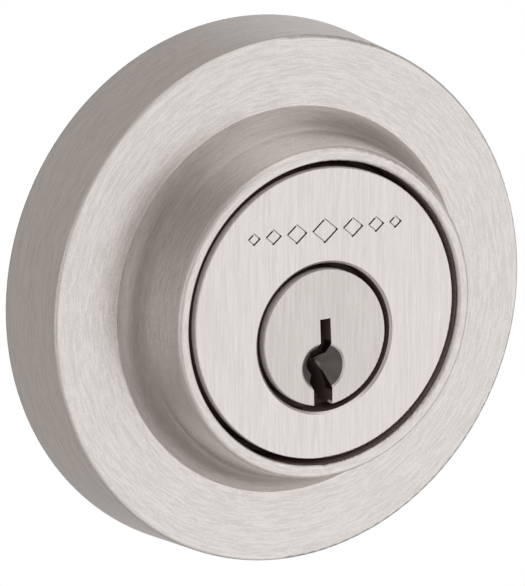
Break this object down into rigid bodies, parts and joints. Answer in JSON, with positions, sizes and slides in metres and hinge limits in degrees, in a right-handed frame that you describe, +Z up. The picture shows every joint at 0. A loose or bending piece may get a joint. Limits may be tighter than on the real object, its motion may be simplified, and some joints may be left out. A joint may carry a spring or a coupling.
{
  "type": "deadbolt door lock",
  "caption": "Single-cylinder deadbolt with a round outside rose and boss, pin-tumbler plug, tubular latch with square-sided bolt, and a round inside rose with thumbturn.",
  "frame": {"origin": "centre of the outside rose's back face, on the door's outside face", "axes": "-Y faces outdoors and +Y goes through the door; +Z up; +X toward the door edge, the way the bolt throws"},
  "size_m": [0.0875, 0.0902, 0.0586],
  "materials": {
    "satin_nickel": "satin brushed nickel plate",
    "nickel_face": "satin nickel, straight vertical brushing",
    "brass": "turned brass",
    "spring_steel": "bright spring wire",
    "zinc_steel": "zinc-plated steel",
    "cast_zinc": "die-cast zinc",
    "hard_steel": "hardened steel",
    "nylon": "white nylon",
    "black_oxide": "black oxide"
  },
  "bodies": {
    "lock_frame": {"outside_rose": "satin_nickel", "cylinder_body": "nickel_face", "pin_springs": "spring_steel", "chamber_plugs": "brass", "bolt_case": "cast_zinc", "case_cover": "zinc_steel", "case_rivets": "zinc_steel", "detent_spring": "spring_steel", "backplate": "zinc_steel", "faceplate": "satin_nickel", "faceplate_screws": "satin_nickel", "inside_rose": "satin_nickel", "mounting_plate": "zinc_steel", "mounting_screws": "zinc_steel", "rose_set_screw": "black_oxide", "turn_bushing": "nylon"},
    "key_plug": {"plug": "nickel_face", "plug_cap": "brass"},
    "turn_train": {"thumbturn": "satin_nickel", "retaining_ring": "spring_steel", "turn_spindle": "hard_steel", "spindle_pin": "hard_steel", "tailpiece": "zinc_steel", "hub": "cast_zinc"},
    "bolt_group": {"bolt": "satin_nickel", "bolt_roller": "hard_steel", "bolt_bar": "zinc_steel", "bar_rivet": "zinc_steel", "bar_pin": "hard_steel"},
    "bottom_pin_1": {"key_pin_1": "brass"},
    "top_pin_1": {"driver_pin_1": "brass"},
    "bottom_pin_2": {"key_pin_2": "brass"},
    "top_pin_2": {"driver_pin_2": "brass"},
    "bottom_pin_3": {"key_pin_3": "brass"},
    "top_pin_3": {"driver_pin_3": "brass"},
    "bottom_pin_4": {"key_pin_4": "brass"},
    "top_pin_4": {"driver_pin_4": "brass"},
    "bottom_pin_5": {"key_pin_5": "brass"},
    "top_pin_5": {"driver_pin_5": "brass"}
  },
  "joints": [
    {"name": "plug_turn", "type": "hinge", "parent": "lock_frame", "child": "key_plug", "pos_m": [0, 0, -0.0025], "axis": [0, 1, 0], "range_deg": [0, 90]},
    {"name": "thumbturn_turn", "type": "hinge", "parent": "lock_frame", "child": "turn_train", "pos_m": [0, 0.045, -0.0025], "axis": [0, 1, 0], "range_deg": [0, 90]},
    {"name": "bolt_throw", "type": "slide", "parent": "lock_frame", "child": "bolt_group", "axis": [1, 0, 0], "range_m": [0, 0.0254]},
    {"name": "key_pin_1_drop", "type": "slide", "parent": "key_plug", "child": "bottom_pin_1", "axis": [0, 0, 1], "range_m": [-0.00279, 0]},
    {"name": "driver_pin_1_lift", "type": "slide", "parent": "lock_frame", "child": "top_pin_1", "axis": [0, 0, 1], "range_m": [0, 0.0015], "stiffness_N_per_m": 150, "springref_m": -0.002, "deforming": ["pin_springs"]},
    {"name": "key_pin_2_drop", "type": "slide", "parent": "key_plug", "child": "bottom_pin_2", "axis": [0, 0, 1], "range_m": [-0.00179, 0]},
    {"name": "driver_pin_2_lift", "type": "slide", "parent": "lock_frame", "child": "top_pin_2", "axis": [0, 0, 1], "range_m": [0, 0.0015], "stiffness_N_per_m": 150, "springref_m": -0.002, "deforming": ["pin_springs"]},
    {"name": "key_pin_3_drop", "type": "slide", "parent": "key_plug", "child": "bottom_pin_3", "axis": [0, 0, 1], "range_m": [-0.00329, 0]},
    {"name": "driver_pin_3_lift", "type": "slide", "parent": "lock_frame", "child": "top_pin_3", "axis": [0, 0, 1], "range_m": [0, 0.0015], "stiffness_N_per_m": 150, "springref_m": -0.002, "deforming": ["pin_springs"]},
    {"name": "key_pin_4_drop", "type": "slide", "parent": "key_plug", "child": "bottom_pin_4", "axis": [0, 0, 1], "range_m": [-0.00229, 0]},
    {"name": "driver_pin_4_lift", "type": "slide", "parent": "lock_frame", "child": "top_pin_4", "axis": [0, 0, 1], "range_m": [0, 0.0015], "stiffness_N_per_m": 150, "springref_m": -0.002, "deforming": ["pin_springs"]},
    {"name": "key_pin_5_drop", "type": "slide", "parent": "key_plug", "child": "bottom_pin_5", "axis": [0, 0, 1], "range_m": [-0.00249, 0]},
    {"name": "driver_pin_5_lift", "type": "slide", "parent": "lock_frame", "child": "top_pin_5", "axis": [0, 0, 1], "range_m": [0, 0.0015], "stiffness_N_per_m": 150, "springref_m": -0.002, "deforming": ["pin_springs"]}
  ],
  "couplings": [
    {"joint": "thumbturn_turn", "follows": "bolt_throw", "rad_per_m": 61.842}
  ]
}
